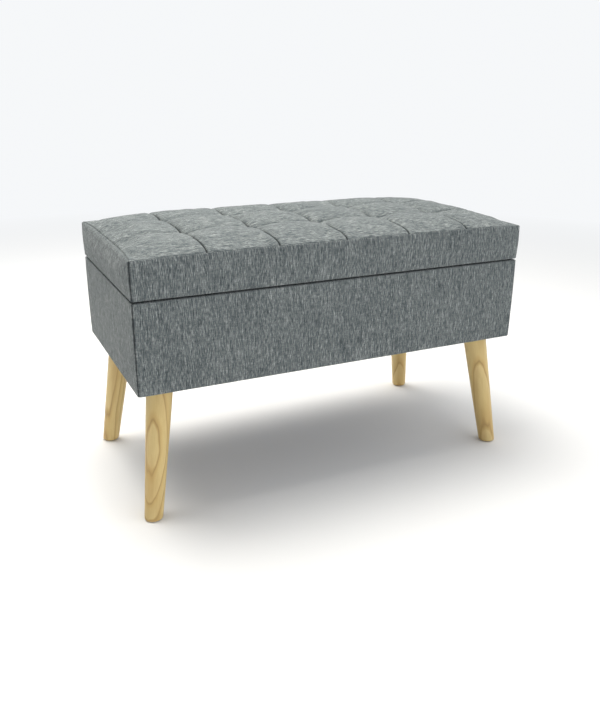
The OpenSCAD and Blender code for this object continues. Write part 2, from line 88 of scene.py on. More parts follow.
def outward(obj):
    """Turns every face's normal outwards."""
    bm = bmesh.new()
    bm.from_mesh(obj.data)
    bmesh.ops.recalc_face_normals(bm, faces=bm.faces)
    bm.to_mesh(obj.data)
    bm.free()
    return obj


def sharpen(obj, degrees=40):
    """Marks the edges that turn by more than an angle as sharp."""
    obj.data.set_sharp_from_angle(angle=math.radians(degrees))
    return obj


def mark_seams(obj, values):
    """Writes the painted shade of each point, from 0 to 1: how far it is drawn into a seam, a
    crease or a tuft.
    """
    layer = obj.data.attributes.new("seam", "FLOAT", "POINT")
    layer.data.foreach_set("value", np.clip(values, 0, 1).astype(np.float32))


def lay_weave(obj, is_cross_rim, is_top_panel):
    """Linen runs up the sides, along the length where it lies flat, and across the rims.

    The two tests are given a face and say where the cross rims and a top panel are."""
    obj.data.materials.clear()
    up_sides, along_length, across_rim = range(3)
    for run in "ZXY":
        obj.data.materials.append(LINEN[run])
    for face in obj.data.polygons:
        lying = abs(face.normal.z) > LYING
        if is_top_panel(face) or lying and not is_cross_rim(face):
            face.material_index = along_length
        elif lying:
            face.material_index = across_rim
        else:
            face.material_index = up_sides


def loop_faces(start_a, start_b, count):
    """Quads between two closed loops of the same count."""
    return [
        (start_a + i, start_a + (i + 1) % count, start_b + (i + 1) % count, start_b + i)
        for i in range(count)
    ]


def smoothstep(t):
    t = np.clip(t, 0.0, 1.0)
    return t * t * (3 - 2 * t)


def decay(distance, width):
    """Falls from 1 with a sharp point at distance 0."""
    return np.exp(-distance / width)


def bell(distance, width):
    """Falls from 1 with a round top at distance 0."""
    return np.exp(-((distance / width) ** 2))


def wobble(x, y, z, size, seed):
    """Smooth noise from -1 to 1 at arrays of points; size is the width of its bumps."""
    shift = Vector((seed * 17.3, seed * 5.1, seed * 9.7))
    flat = np.stack([np.ravel(x), np.ravel(y), np.ravel(z)], axis=1) / size
    values = [noise.noise(Vector(p) + shift) for p in flat]
    return np.array(values).reshape(np.shape(x))


# ---- Rounded rectangles, which the lid and the box are lofted on


def clustered(knots, count, crowd=0.75):
    """Positions between knots, count steps to each span, crowded towards the knots."""
    t = np.arange(count) / count
    eased = t - crowd * np.sin(2 * np.pi * t) / (2 * np.pi)
    spans = [a + (b - a) * eased for a, b in zip(knots[:-1], knots[1:])]
    return np.concatenate(spans + [[knots[-1]]])


def boundary_order(nx, ny):
    """Index pairs round the edge of an nx by ny grid, from the front left corner."""
    front = [(i, 0) for i in range(nx - 1)]
    right = [(nx - 1, j) for j in range(ny - 1)]
    back = [(i, ny - 1) for i in range(nx - 1, 0, -1)]
    left = [(0, j) for j in range(ny - 1, 0, -1)]
    return np.array(front + right + back + left)


def round_corners(x, y, half_w, half_d, radius):
    """Moves the points of a rectangle's corner squares onto round corners."""
    u = np.clip((np.abs(x) - (half_w - radius)) / radius, 0, 1)
    v = np.clip((np.abs(y) - (half_d - radius)) / radius, 0, 1)
    inside = (u > 0) & (v > 0)
    new_x = half_w - radius + radius * u * np.sqrt(1 - v * v / 2)
    new_y = half_d - radius + radius * v * np.sqrt(1 - u * u / 2)
    return (
        np.where(inside, np.sign(x) * new_x, x),
        np.where(inside, np.sign(y) * new_y, y),
    )


GROOVE_DEPTH = 0.0016  # of the upright seam at each corner
GROOVE_WIDTH = 0.0008
CORNER_SHADE = 0.85  # painted shade in that seam
CORNER_SHADE_WIDTH = 0.0014


def quarter(steps, first=0):
    """Steps through a quarter turn: the share done, 1 - cos and sin."""
    for step in range(first, steps + 1):
        turn = step / steps * math.pi / 2
        yield step / steps, 1 - math.cos(turn), math.sin(turn)


class Perimeter:
    """Directions round a rectangle, shared by every ring that is lofted on it.

    endness is 1 on the two ends and 0 on the front and back."""

    def __init__(self, fx, fy, half_w, half_d):
        self.fx, self.fy = fx, fy
        self.half_w, self.half_d = half_w, half_d
        to_end = (1 - np.abs(fx)) * half_w
        to_side = (1 - np.abs(fy)) * half_d
        self.from_corner = np.maximum(to_end, to_side)
        turning = 0.05  # the ends' look changes to the sides' over this length
        self.endness = smoothstep(0.5 + (to_side - to_end) / turning)
        self.along = np.where(to_side > to_end, fy * half_d, fx * half_w)
        self.groove = GROOVE_DEPTH * decay(self.from_corner, GROOVE_WIDTH)
        # painted shade along the upright corner seams
        self.corner_painted_shade = CORNER_SHADE * bell(self.from_corner, CORNER_SHADE_WIDTH)

    def wobble(self, size, seed):
        """Noise round the rectangle, different on each of its four sides."""
        return wobble(self.along, self.endness * 3, self.fx * 2, size, seed)

    def ring(self, offset, z, radius):
        """Points at an offset outside the rectangle, at height z."""
        half_w = self.half_w + offset
        half_d = self.half_d + offset
        x, y = round_corners(
            self.fx * half_w, self.fy * half_d, half_w, half_d, np.maximum(radius, 0.0006)
        )
        return np.stack([x, y, np.broadcast_to(z, x.shape)], axis=1)


def make_sleeve(name, p, rings, material, replaced):
    """A closed sleeve on the base, lofted through rings whose last joins the first."""
    count = len(p.fx)
    faces = []
    for k in range(len(rings)):
        faces += loop_faces(k * count, (k + 1) % len(rings) * count, count)
    points = np.concatenate([p.ring(*ring) for ring in rings])
    return outward(make_piece(name, points, faces, "base", material, replaced))


# ---- Materials


class Graph:
    """A Principled material with helpers that keep its node tree readable."""

    def __init__(self, name, **constants):
        self.material = bpy.data.materials.new(name)
        self.material.use_nodes = True
        self.tree = self.material.node_tree
        self.shader = self.tree.nodes["Principled BSDF"]
        for socket, value in constants.items():
            self.shader.inputs[socket.replace("_", " ")].default_value = value

    def put(self, socket, value):
        if isinstance(value, bpy.types.NodeSocket):
            self.tree.links.new(value, socket)
        else:
            socket.default_value = value

    def node(self, kind, *inputs, out=0, **settings):
        """A node of a kind; inputs fill its sockets in order, and None leaves one alone."""
        made = self.tree.nodes.new("ShaderNode" + kind)
        for key, value in settings.items():
            setattr(made, key, value)
        for socket, value in zip(made.inputs, inputs):
            if value is not None:
                self.put(socket, value)
        return made.outputs[out]

    def math(self, operation, *values, clamp=False):
        return self.node("Math", *values, operation=operation, use_clamp=clamp)

    def add(self, *terms):
        total = terms[0]
        for term in terms[1:]:
            total = self.math("ADD", total, term)
        return total

    def times(self, a, b):
        return self.math("MULTIPLY", a, b)

    def place(self, location=(0, 0, 0), rotation=(0, 0, 0)):
        """Object coordinates in millimetres, split into x, y and z."""
        coordinates = self.node("TexCoord", out=3)
        mapped = self.node("Mapping", coordinates, location, rotation, (1000, 1000, 1000))
        split = self.tree.nodes.new("ShaderNodeSeparateXYZ")
        self.tree.links.new(mapped, split.inputs[0])
        return tuple(split.outputs)

    def make(self, kind, **inputs):
        """The first output of a node whose inputs are given by name."""
        made = self.tree.nodes.new("ShaderNode" + kind)
        for name, value in inputs.items():
            self.put(made.inputs[name.replace("_", " ")], value)
        return made.outputs[0]

    def noise(self, x, y, z, sizes, detail=2.0, roughness=0.5, distortion=0.0):
        """Noise from 0 to 1 whose blobs have the given sizes along the three coordinates."""
        scaled = [self.times(c, 1 / s) for c, s in zip((x, y, z), sizes)]
        return self.make(
            "TexNoise", Vector=self.node("CombineXYZ", *scaled), Scale=1.0,
            Detail=detail, Roughness=roughness, Distortion=distortion,
        )

    def stretch(self, value, low, high, to_low=0.0, to_high=1.0):
        return self.make(
            "MapRange", Value=value, From_Min=low, From_Max=high, To_Min=to_low, To_Max=to_high
        )

    def swing(self, value, reach):
        """A value from 0 to 1, moved to swing about 0."""
        return self.times(self.add(value, -0.5), reach)

    def ramp(self, value, stops):
        made = self.tree.nodes.new("ShaderNodeValToRGB")
        elements = made.color_ramp.elements
        while len(elements) < len(stops):
            elements.new(0.5)
        for element, (position, colour) in zip(elements, stops):
            element.position = position
            element.color = (*colour, 1)
        self.put(made.inputs[0], value)
        return made.outputs[0]

    def mix(self, factor, a, b, blend="MIX"):
        made = self.tree.nodes.new("ShaderNodeMix")
        made.data_type = "RGBA"
        made.blend_type = blend
        self.put(made.inputs[0], factor)
        for socket, value in ((made.inputs[6], a), (made.inputs[7], b)):
            self.put(socket, (*value, 1) if isinstance(value, tuple) else value)
        return made.outputs[2]

    def colour(self, value):
        self.put(self.shader.inputs["Base Color"], value)

    def roughness(self, value):
        self.put(self.shader.inputs["Roughness"], value)

    def rough_between(self, value, low, high):
        self.roughness(self.stretch(value, 0.2, 0.8, low, high))

    def bump(self, height, strength, distance):
        normal = self.make("Bump", Strength=strength, Distance=distance, Height=height)
        self.put(self.shader.inputs["Normal"], normal)


def linen(name, run):
    """Heathered woven cloth whose slubs run along an axis: X, Y or, up the sides, Z.

    Painted shade: the cloth is darkened towards near-black where the mesh's shade attribute says
    it is drawn into a seam, a crease or a tuft."""
    g = Graph(name, Sheen_Weight=0.10, Sheen_Roughness=0.4, Specular_IOR_Level=0.22)
    x, y, z = g.place()
    lean = g.times(z, 0.5)
    across, along = {
        "X": (g.add(y, lean), x),
        "Y": (g.add(x, lean), y),
        "Z": (g.add(x, y), z),
    }[run]
    deep = g.times(g.add(x, g.times(y, -1.7), z), 0.02)

    sway = g.noise(x, y, z, (45, 45, 45), detail=1)
    across = g.add(across, g.times(sway, 0.5))
    slub = g.noise(across, along, deep, (0.85, 9, 1), detail=2, roughness=0.6)
    thin = g.noise(across, along, deep, (0.6, 28, 1), detail=1)
    weft = g.noise(across, along, deep, (12, 1.3, 1), detail=2, roughness=0.6)
    fibre = g.noise(across, along, deep, (0.7, 1.2, 1), detail=2, roughness=0.6)
    band = g.noise(across, along, deep, (7, 90, 1), detail=1.5)
    mottle = g.noise(x, y, z, (60, 60, 80), detail=2)

    thread = 0.95
    warp_wave = g.math("SINE", g.times(across, 2 * math.pi / thread))
    weft_wave = g.math("SINE", g.times(along, 2 * math.pi / thread))
    weave = g.stretch(g.times(warp_wave, weft_wave), -1, 1)

    shade = g.add(
        g.times(slub, 0.44),
        g.times(thin, 0.3),
        g.times(weft, 0.11),
        g.times(fibre, 0.15),
    )
    shade = g.stretch(shade, 0.36, 0.64)
    drift = g.add(g.swing(band, 0.22), g.swing(mottle, 0.12))
    shade = g.add(shade, g.swing(weave, 0.16), drift)
    cloth = g.ramp(
        shade,
        [
            (0.00, (0.026, 0.033, 0.038)),
            (0.35, (0.096, 0.114, 0.121)),
            (0.62, (0.2, 0.222, 0.222)),
            (0.85, (0.37, 0.395, 0.385)),
            (1.00, (0.56, 0.58, 0.56)),
        ],
    )
    # painted shade: darkens the cloth in seams, creases and tufts
    shade_amount = g.node("Attribute", out=2, attribute_name="seam")
    g.colour(g.mix(g.times(shade_amount, 0.88), cloth, (0.016, 0.021, 0.025)))
    g.rough_between(fibre, 0.82, 0.98)
    height = g.add(g.times(weave, 0.45), g.times(slub, 0.9), g.times(fibre, 0.35))
    g.bump(height, 0.55, 0.00045)
    return g.material


def pine(name, foot, top, turn, pith, lean, belly, seed):
    """Clear-lacquered pine: growth rings round a pith beside the leg, cut at a slant.

    foot and top give the leg's axis, turn spins the board about it, pith is the distance
    to the pith in millimetres, lean how much the rings lean along the leg and belly how far
    they bow out towards its ends."""
    g = Graph(name, Specular_IOR_Level=0.4, Coat_Weight=0.12, Coat_Roughness=0.28)
    axis = (Vector(top) - Vector(foot)).normalized()
    upright = axis.to_track_quat("Z", "Y").inverted().to_euler()
    origin = Vector(foot)
    origin.rotate(upright)
    x, y, z = g.place(tuple(-1000 * origin), tuple(upright))
    c, s = math.cos(turn), math.sin(turn)
    side = g.add(g.times(x, c), g.times(y, s))
    out = g.add(g.times(x, -s), g.times(y, c))

    wave = g.noise(x, y, z, (60, 60, 150), detail=1)
    ripple = g.noise(x, y, z, (14, 14, 60), detail=1)
    bow = g.add(g.swing(wave, 12), g.swing(ripple, 4))
    half = 500 * (Vector(top) - Vector(foot)).length
    from_mid = g.times(g.add(z, -half), 1 / half)
    bow = g.add(bow, g.times(g.times(from_mid, from_mid), belly))
    depth = g.add(out, pith, g.times(z, lean), bow)
    radius = g.math("SQRT", g.add(g.times(depth, depth), g.times(side, side)))
    ring_pitch = 9.0
    ring = g.math("FRACT", g.add(g.times(radius, 1 / ring_pitch), seed * 0.37))

    streak = g.noise(x, y, z, (0.9, 0.9, 26), detail=3, roughness=0.6)
    cloud = g.noise(x, y, z, (22, 22, 140), detail=2)
    wood = g.ramp(
        ring,
        [
            (0.00, (0.79, 0.615, 0.285)),
            (0.6, (0.75, 0.565, 0.238)),
            (0.8, (0.64, 0.43, 0.15)),
            (0.88, (0.36, 0.178, 0.048)),
            (0.93, (0.56, 0.36, 0.12)),
            (1.00, (0.79, 0.615, 0.285)),
        ],
    )
    pale = g.mix(0.25, wood, (0.77, 0.6, 0.27))
    veined = g.mix(g.stretch(streak, 0.3, 0.7, 0.0, 0.3), pale, (0.56, 0.365, 0.13))
    tinted = g.mix(g.stretch(cloud, 0.42, 0.66, 0.0, 0.5), veined, (0.56, 0.36, 0.125))
    g.colour(tinted)
    g.rough_between(streak, 0.42, 0.58)
    g.bump(g.add(g.times(streak, 0.5), g.times(ring, -0.3)), 0.25, 0.0002)
    return g.material


def nonwoven(name, tone):
    """Thin spun lining: matted fibres and a fine grid of pressed dots."""
    g = Graph(name, Specular_IOR_Level=0.3, Sheen_Weight=0.1)
    x, y, z = g.place()
    a, b = g.add(x, z), g.add(y, z)
    fibres = g.noise(x, y, z, (0.6, 0.6, 0.6), detail=4, roughness=0.7, distortion=1.5)
    cloud = g.noise(x, y, z, (12, 12, 12), detail=3)
    pitch = 2.1
    dots = g.times(
        g.math("SINE", g.times(g.add(a, b), math.pi / pitch)),
        g.math("SINE", g.times(g.add(a, g.times(b, -1)), math.pi / pitch)),
    )
    press = g.math("GREATER_THAN", dots, 0.55)
    light = tuple(min(1.0, t * 2.4 + 0.01) for t in tone)
    base = g.mix(g.stretch(g.add(fibres, g.times(cloud, 0.5)), 0.5, 1.0), tone, light)
    g.colour(g.mix(g.times(press, 0.45), base, tuple(t * 0.6 for t in tone)))
    g.rough_between(fibres, 0.78, 0.95)
    g.bump(g.add(fibres, g.times(press, -0.8)), 0.5, 0.0002)
    return g.material


def particleboard(name):
    """Pressed chips between tan and brown."""
    g = Graph(name, Specular_IOR_Level=0.3)
    x, y, z = g.place()
    chips = g.noise(x, y, z, (3.2, 3.2, 1.1), detail=3, roughness=0.7, distortion=2.0)
    dust = g.noise(x, y, z, (0.6, 0.6, 0.6), detail=2)
    g.colour(
        g.ramp(
            g.add(g.times(chips, 0.75), g.times(dust, 0.25)),
            [
                (0.25, (0.2, 0.115, 0.05)),
                (0.45, (0.46, 0.31, 0.16)),
                (0.6, (0.58, 0.42, 0.23)),
                (0.8, (0.7, 0.54, 0.33)),
            ],
        )
    )
    g.rough_between(dust, 0.7, 0.9)
    g.bump(chips, 0.4, 0.0004)
    return g.material


def sawn_pine(name):
    """Rough pine of the battens, with its grain along the longer way."""
    g = Graph(name, Specular_IOR_Level=0.3)
    x, y, z = g.place()
    grain = g.noise(x, y, z, (60, 60, 1.5), detail=3, roughness=0.6, distortion=0.4)
    fuzz = g.noise(x, y, z, (4, 4, 0.5), detail=2)
    g.colour(g.ramp(grain, [(0.3, (0.46, 0.29, 0.12)), (0.7, (0.7, 0.52, 0.28))]))
    g.rough_between(fuzz, 0.7, 0.9)
    g.bump(fuzz, 0.4, 0.0003)
    return g.material


def metal(name, tone, roughness, metallic=1.0, wear=0.0):
    """Bright or painted steel with fine scratches, stains and worn spots."""
    g = Graph(name, Metallic=metallic)
    x, y, z = g.place()
    scratch = g.noise(x, y, z, (9, 0.25, 0.25), detail=2)
    stain = g.noise(x, y, z, (7, 7, 7), detail=4, roughness=0.65)
    dull = tuple(t * 0.72 for t in tone)
    body = g.mix(g.stretch(stain, 0.35, 0.7), tone, dull)
    if wear:
        rubbed = g.stretch(g.times(stain, scratch), 0.33, 0.4, 0, wear)
        body = g.mix(rubbed, body, (0.3, 0.3, 0.29))
    g.colour(body)
    g.roughness(
        g.add(g.stretch(stain, 0.3, 0.7, roughness - 0.06, roughness + 0.1),
              g.swing(scratch, 0.12))
    )
    g.bump(g.add(g.times(scratch, 0.4), g.times(stain, 0.6)), 0.12, 0.0002)
    return g.material


def soft_black(name, tone, grain_size, roughness):
    """Felt, rubber and moulded plastic in near-black, told apart by grain and roughness."""
    g = Graph(name, Specular_IOR_Level=0.35)
    x, y, z = g.place()
    grain = g.noise(x, y, z, (grain_size,) * 3, detail=3, roughness=0.65)
    light = tuple(t * 2.2 + 0.01 for t in tone)
    g.colour(g.mix(g.stretch(grain, 0.3, 0.7), tone, light))
    g.rough_between(grain, roughness - 0.08, roughness + 0.08)
    g.bump(grain, 0.4, 0.0003)
    return g.material


def pale_fibre(name, tone, grain_size):
    """Wadding, foam and twine, which the upholstery hides."""
    g = Graph(name, Specular_IOR_Level=0.2, Subsurface_Weight=0.05)
    x, y, z = g.place()
    cells = g.noise(x, y, z, (grain_size,) * 3, detail=3, roughness=0.7, distortion=0.5)
    g.colour(g.mix(g.stretch(cells, 0.3, 0.7), tone, tuple(t * 0.8 for t in tone)))
    g.rough_between(cells, 0.85, 0.98)
    g.bump(cells, 0.6, 0.0005)
    return g.material


LINEN = {run: linen("linen_along_" + run.lower(), run) for run in "XYZ"}
LINING = nonwoven("lining_black", (0.02, 0.02, 0.022))

SLOT_MATERIALS = {
    "particleboard": particleboard("particleboard"),
    "batten_pine": sawn_pine("batten_pine"),
    "lining": LINING,
    "wadding": pale_fibre("wadding_white", (0.82, 0.82, 0.8), 2.5),
    "foam": pale_fibre("foam_cream", (0.8, 0.7, 0.45), 1.2),
    "felt": soft_black("felt_dark", (0.035, 0.03, 0.026), 0.8, 0.9),
    "twine": pale_fibre("twine_flax", (0.6, 0.56, 0.48), 0.4),
    "bumper_rubber": soft_black("bumper_rubber", (0.012, 0.012, 0.012), 1.5, 0.55),
    "black_plastic": soft_black("washer_plastic", (0.015, 0.015, 0.015), 2.0, 0.42),
    "plated_steel": metal("zinc_plate", (0.62, 0.61, 0.57), 0.34),
    "hinge_steel": metal("hinge_steel", (0.58, 0.57, 0.55), 0.3),
    "screw_steel": metal("screw_steel", (0.64, 0.63, 0.6), 0.28),
    "black_steel": metal("black_steel", (0.022, 0.022, 0.023), 0.42, 0.0, wear=0.6),
}


# ---- Lid cushion

LID_LOW, LID_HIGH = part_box("lid_cover")
BOARD_LOW, BOARD_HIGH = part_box("lid_board")
CORNER_R = 0.0042  # radius of the upright corners
FOLD_IN = 0.040  # how far the cover is turned in under the board

COLUMNS, ROWS = 6, 3  # squares of tufting
SEAM_DROP = 0.0162  # the top seam lies this far below the crown
CORNER_DIP = 0.0030  # and at the corners this much lower
TOP_CLOTH_DROP = 0.019  # the top panel's cloth reaches this far below the crown
TUFT_DROP = 0.0165  # the tufts lie this far below the crown
CREASE_ARCH = 0.0130  # rise of a crease between two tufts
MIDDLE_DROP = 0.0045  # how far the middle of a square lies below its creases' arches
FOLD_DEPTH = 0.0060  # the sharp fold in the middle of a crease
FOLD_WIDTH = 0.0011
VALLEY_DEPTH = 0.0010  # the soft valley on both sides of it
VALLEY_WIDTH = 0.007
PIT_DEPTH = 0.0035  # the pit at a tuft
GATHER_DEPTH = 0.0008  # the folds that run out from a tuft
SEAM_PINCH = 0.0020  # how deep the top seam is drawn in
SEAM_SHADE = 0.45  # painted shade in the top seam
PUCKER = 0.0007  # puckers along the top seam
END_INSET = 0.0088  # the top seam lies this far inside the middle of the two ends
SIDE_INSET = 0.0022  # and this far inside the front, the back and the corners
TUCK = 0.0004  # how far a side is drawn in at its lower edge
SIM_STEPS = 22  # cloth steps across each square
FINE_STEPS = 64  # mesh steps across each square
CUSHION_FRAMES = 22
CLOTH = dict(
    vertex_group_mass="pin",
    quality=7,
    mass=0.25,
    tension_stiffness=18,
    compression_stiffness=18,
    shear_stiffness=8,
    bending_stiffness=1.2,
    tension_damping=12,
    compression_damping=12,
    shear_damping=8,
    use_pressure=True,
    uniform_pressure_force=0.85,
    shrink_min=-0.010,
)


def seam_height(x, y, half_w, half_d):
    """The top seam dips a little towards the corners."""
    u = np.clip(np.abs(x) / half_w, 0, 1)
    v = np.clip(np.abs(y) / half_d, 0, 1)
    dip = np.minimum(u, v) ** 5
    return LID_HIGH.z - SEAM_DROP - CORNER_DIP * dip


def seam_inset(fx, fy):
    """How far the top seam lies inside the lid's outline: it bows in along the ends."""
    at_end = smoothstep((np.abs(fx) - 0.97) / 0.03)
    return SIDE_INSET + (END_INSET - SIDE_INSET) * at_end * (1 - np.abs(fy) ** 5)


def crease_height(t, low, high):
    """Height along a crease between two ends, arched in the middle."""
    return low + (high - low) * t + CREASE_ARCH * (4 * t * (1 - t)) ** 0.62


def knots_of_tufting():
    half_w = LID_HIGH.x - SIDE_INSET
    half_d = LID_HIGH.y - SIDE_INSET
    pitch_x = 2 * LID_HIGH.x / COLUMNS
    pitch_y = 2 * LID_HIGH.y / ROWS
    xs = [(i - COLUMNS / 2) * pitch_x for i in range(COLUMNS + 1)]
    ys = [(j - ROWS / 2) * pitch_y for j in range(ROWS + 1)]
    xs[0], xs[-1] = -half_w, half_w
    ys[0], ys[-1] = -half_d, half_d
    return np.array(xs), np.array(ys)


def start_surface(xs, ys, knots_x, knots_y):
    """Heights of the top panel before it is inflated: a Coons patch on every square."""
    half_w, half_d = knots_x[-1], knots_y[-1]
    tuft = LID_HIGH.z - TUFT_DROP
    gx, gy = np.meshgrid(xs, ys, indexing="ij")
    i = np.clip(np.searchsorted(knots_x, gx, side="right") - 1, 0, COLUMNS - 1)
    j = np.clip(np.searchsorted(knots_y, gy, side="right") - 1, 0, ROWS - 1)
    s = (gx - knots_x[i]) / (knots_x[i + 1] - knots_x[i])
    t = (gy - knots_y[j]) / (knots_y[j + 1] - knots_y[j])

    def corner(ii, jj):
        rim = (ii == 0) | (ii == COLUMNS) | (jj == 0) | (jj == ROWS)
        return np.where(rim, seam_height(knots_x[ii], knots_y[jj], half_w, half_d), tuft)

    def edge_x(jj):
        rim = (jj == 0) | (jj == ROWS)
        arched = crease_height(s, corner(i, jj), corner(i + 1, jj))
        return np.where(rim, seam_height(gx, knots_y[jj], half_w, half_d), arched)

    def edge_y(ii):
        rim = (ii == 0) | (ii == COLUMNS)
        arched = crease_height(t, corner(ii, j), corner(ii, j + 1))
        return np.where(rim, seam_height(knots_x[ii], gy, half_w, half_d), arched)

    ruled_y = edge_x(j) * (1 - t) + edge_x(j + 1) * t
    ruled_x = edge_y(i) * (1 - s) + edge_y(i + 1) * s
    bilinear = (corner(i, j) * (1 - s) + corner(i + 1, j) * s) * (1 - t) + (
        corner(i, j + 1) * (1 - s) + corner(i + 1, j + 1) * s
    ) * t
    sunk = MIDDLE_DROP * (16 * s * (1 - s) * t * (1 - t)) ** 0.5
    return gx, gy, ruled_x + ruled_y - bilinear - sunk


def inflate(gx, gy, gz, pinned, frames):
    """Blows the sheet up between its pinned points with the cloth solver."""
    nx, ny = gx.shape
    points = np.stack([gx, gy, gz], axis=-1).reshape(-1, 3)
    quads = [
        (i * ny + j, (i + 1) * ny + j, (i + 1) * ny + j + 1, i * ny + j + 1)
        for i in range(nx - 1)
        for j in range(ny - 1)
    ]
    mesh = bpy.data.meshes.new("cloth_start")
    mesh.from_pydata([tuple(p) for p in points], [], quads)
    obj = add_object("cloth_start", mesh)
    group = obj.vertex_groups.new(name="pin")
    group.add([int(k) for k in np.flatnonzero(pinned.reshape(-1))], 1.0, "REPLACE")
    cloth = obj.modifiers.new("cloth", "CLOTH")
    for setting, value in CLOTH.items():
        setattr(cloth.settings, setting, value)
    cloth.settings.effector_weights.gravity = 0
    cloth.collision_settings.use_collision = False
    cloth.point_cache.frame_start = 1
    cloth.point_cache.frame_end = frames
    SCENE.frame_start, SCENE.frame_end = 1, frames
    for number in range(1, frames + 1):
        SCENE.frame_set(number)
    graph = bpy.context.evaluated_depsgraph_get()
    result = np.zeros(len(points) * 3, np.float32)
    obj.evaluated_get(graph).data.vertices.foreach_get("co", result)
    bpy.data.objects.remove(obj)
    bpy.data.meshes.remove(mesh)
    SCENE.frame_set(1)
    return result.reshape(nx, ny, 3).astype(float)


def spline_matrix(coarse, fine):
    """Weights that carry values at coarse positions to fine ones on a smooth curve."""
    out = np.zeros((len(fine), len(coarse)))
    last = len(coarse) - 1
    for row, at in enumerate(fine):
        k = int(np.clip(np.searchsorted(coarse, at, side="right") - 1, 0, last - 1))
        t = (at - coarse[k]) / (coarse[k + 1] - coarse[k])
        weights = (
            (-t + 2 * t * t - t**3) / 2,
            (2 - 5 * t * t + 3 * t**3) / 2,
            (t + 4 * t * t - 3 * t**3) / 2,
            (t**3 - t * t) / 2,
        )
        for step, weight in zip((-1, 0, 1, 2), weights):
            out[row, int(np.clip(k + step, 0, last))] += weight
    return out


def nearest(values, knots):
    """The knot nearest to each value, and how far it is."""
    gaps = np.abs(values[..., None] - knots)
    return knots[np.argmin(gaps, axis=-1)], np.min(gaps, axis=-1)


def creases(gx, gy, knots_x, knots_y):
    """How far the cloth is drawn in along the creases and at the tufts, and the painted shade
    there.
    """
    near_x, from_x = nearest(gx, knots_x[1:-1])
    near_y, from_y = nearest(gy, knots_y[1:-1])
    depth, crease_shade = np.zeros_like(gx), np.zeros_like(gx)
    for across, beside, line, shade, seed in (
        (from_x, from_y, near_x, 1.0, 3),
        (from_y, from_x, near_y, 0.6, 7),
    ):
        ends = smoothstep((beside - 0.003) / 0.016)
        vary = 0.85 + 0.3 * wobble(gx + line * 9, gy, gx * 0, 0.05, seed)
        fold = FOLD_DEPTH * decay(across, FOLD_WIDTH) + VALLEY_DEPTH * bell(across, VALLEY_WIDTH)
        depth = np.maximum(depth, fold * vary * (0.35 + 0.65 * ends))
        # painted shade along each crease
        crease_shade = np.maximum(crease_shade, shade * bell(across, 0.002) * (0.4 + 0.6 * ends))
    radius = np.hypot(from_x, from_y)
    angle = np.arctan2(gy - near_y, gx - near_x)
    phase = 2.5 * wobble(near_x, near_y, gx * 0, 0.1, 5)
    folds = np.sin(9 * angle + phase) + 0.6 * np.sin(14 * angle - 2 * phase)
    gather = GATHER_DEPTH * folds * bell(radius, 0.018) * smoothstep(radius / 0.006)
    pit = PIT_DEPTH * decay(radius, 0.0035)
    # painted shade also darkens each tuft
    return depth + pit - gather, np.maximum(crease_shade, 0.9 * bell(radius, 0.004))


def tufted_top():
    """The finished top panel's points and painted shade, and its grid's x and y from -1 to 1."""
    knots_x, knots_y = knots_of_tufting()
    xs = clustered(knots_x, SIM_STEPS, crowd=0.0)
    ys = clustered(knots_y, SIM_STEPS, crowd=0.0)
    gx, gy, gz = start_surface(xs, ys, knots_x, knots_y)
    on_knot_x = np.isclose(gx[..., None], knots_x).any(axis=-1)
    on_knot_y = np.isclose(gy[..., None], knots_y).any(axis=-1)
    sheet = inflate(gx, gy, gz, on_knot_x | on_knot_y, CUSHION_FRAMES)

    fine_x = clustered(knots_x, FINE_STEPS)
    fine_y = clustered(knots_y, FINE_STEPS)
    to_x, to_y = spline_matrix(xs, fine_x), spline_matrix(ys, fine_y)
    fine = np.einsum("ai,bj,ijk->abk", to_x, to_y, sheet)
    gx, gy = np.meshgrid(fine_x, fine_y, indexing="ij")
    depth, crease_shade = creases(gx, gy, knots_x, knots_y)
    fine[..., 2] -= depth
    fine[..., 2] += 0.0006 * wobble(gx, gy, gx * 0, 0.022, 11)
    half_w, half_d = knots_x[-1], knots_y[-1]
    to_seam = np.minimum(half_w - np.abs(gx), half_d - np.abs(gy))
    at_seam = decay(to_seam, 0.0009)
    fine[..., 2] -= SEAM_PINCH * at_seam
    # painted shade in the top seam
    crease_shade = np.maximum(crease_shade, SEAM_SHADE * at_seam)
    fx, fy = gx / half_w, gy / half_d
    bow = (seam_inset(np.sign(fx), fy) - SIDE_INSET) * smoothstep((np.abs(fx) - 0.85) / 0.15)
    x, y = round_corners(fine[..., 0], fine[..., 1], half_w, half_d, CORNER_R - SIDE_INSET)
    fine[..., 0], fine[..., 1] = x - np.sign(fx) * bow, y
    return fine, crease_shade, fx, fy


